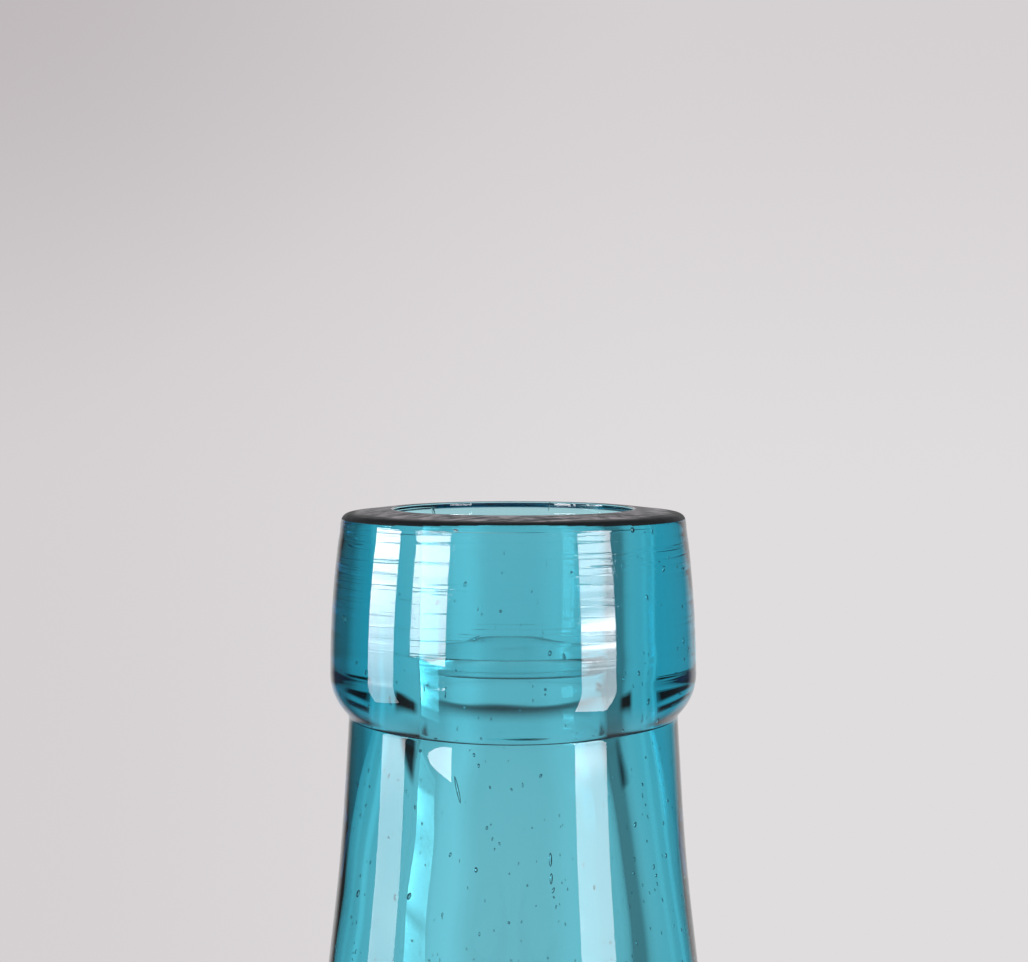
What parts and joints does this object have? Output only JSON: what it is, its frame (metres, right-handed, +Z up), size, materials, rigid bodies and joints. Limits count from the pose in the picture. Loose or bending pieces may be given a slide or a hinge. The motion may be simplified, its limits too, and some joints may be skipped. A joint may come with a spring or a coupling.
{
  "type": "marble stopper bottle",
  "caption": "Aqua glass bottle closed by a glass marble that rises against a rubber ring inside the thick lip, with a pinched chamber in its neck.",
  "frame": {"origin": "middle of the base, on the plane that the bottle stands on", "axes": "+Z up the bottle's axis towards the mouth; -Y is the front, where the two lugs of the marble chamber are"},
  "size_m": [0.06, 0.06, 0.23],
  "materials": {
    "aqua_glass": "glossy, with faint tooling rings and seed bubbles",
    "marble_glass": "glossy, lightly worn",
    "clear_rubber": "smooth and translucent"
  },
  "bodies": {
    "bottle": {"glass_bottle": "aqua_glass", "sealing_ring": "clear_rubber"},
    "marble": {"glass_marble": "marble_glass"}
  },
  "joints": [
    {"name": "marble_slide", "type": "slide", "parent": "bottle", "child": "marble", "axis": [0, 0, 1], "range_m": [0, 0.042]}
  ]
}
